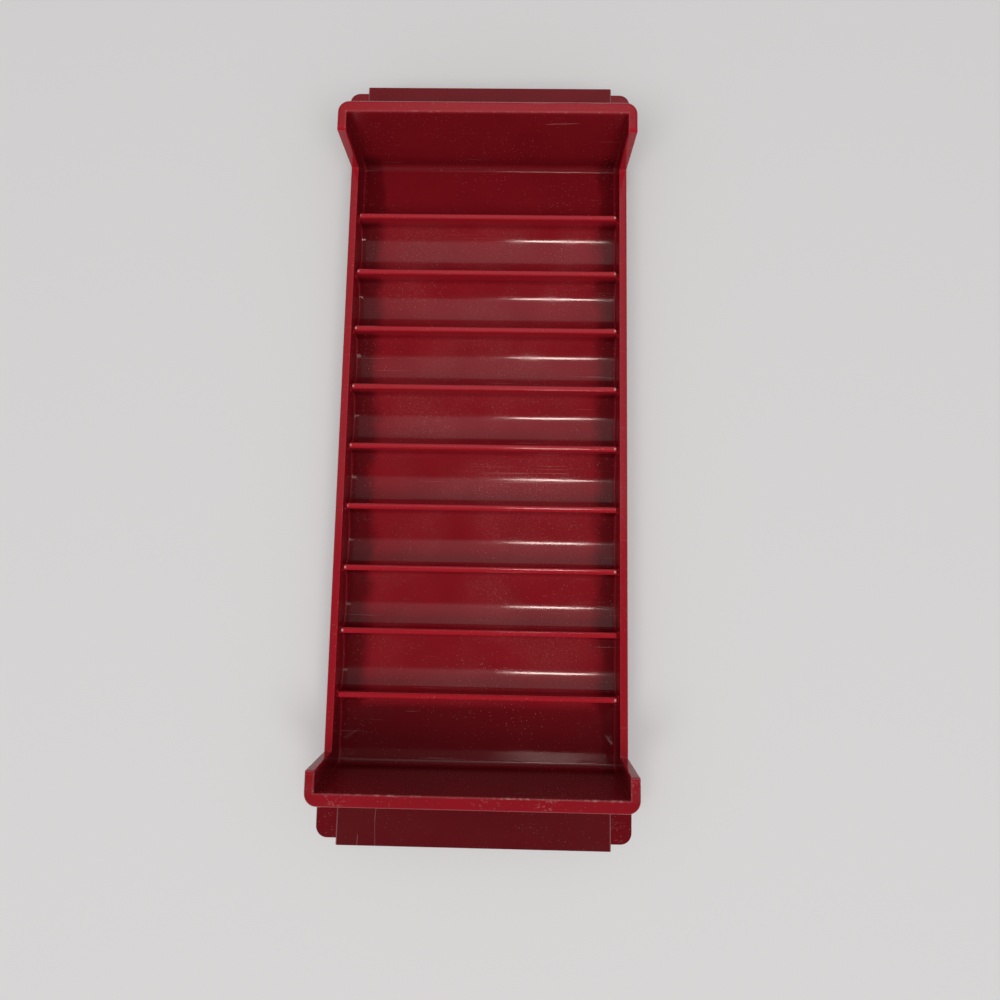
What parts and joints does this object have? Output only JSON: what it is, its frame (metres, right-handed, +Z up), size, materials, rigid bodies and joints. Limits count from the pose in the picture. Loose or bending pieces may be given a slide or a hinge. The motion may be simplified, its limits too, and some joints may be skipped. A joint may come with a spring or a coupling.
{
  "type": "coin roll tray",
  "caption": "Glossy red moulded coin roll tray: round-bottomed troughs across it between low side walls, high end walls with short cheeks, and a label ledge at each end.",
  "frame": {"origin": "middle of the underside, on the surface that the tray stands on", "axes": "+X across the tray along the troughs, +Y along the row of troughs, +Z up"},
  "size_m": [0.1018, 0.2622, 0.0318],
  "materials": {
    "tray_plastic": "glossy moulded plastic, worn and dusty",
    "label_pad": "glossy moulded plastic, slightly duller"
  },
  "bodies": {
    "root": {"trough_1": "tray_plastic", "trough_2": "tray_plastic", "trough_3": "tray_plastic", "trough_4": "tray_plastic", "trough_5": "tray_plastic", "trough_6": "tray_plastic", "trough_7": "tray_plastic", "trough_8": "tray_plastic", "trough_9": "tray_plastic", "trough_10": "tray_plastic", "left_side_wall": "tray_plastic", "right_side_wall": "tray_plastic", "front_end_wall": "tray_plastic", "back_end_wall": "tray_plastic", "front_left_cheek": "tray_plastic", "front_right_cheek": "tray_plastic", "back_left_cheek": "tray_plastic", "back_right_cheek": "tray_plastic", "front_ledge": "tray_plastic", "back_ledge": "tray_plastic", "front_label_pad": "label_pad", "back_label_pad": "label_pad"}
  },
  "joints": []
}
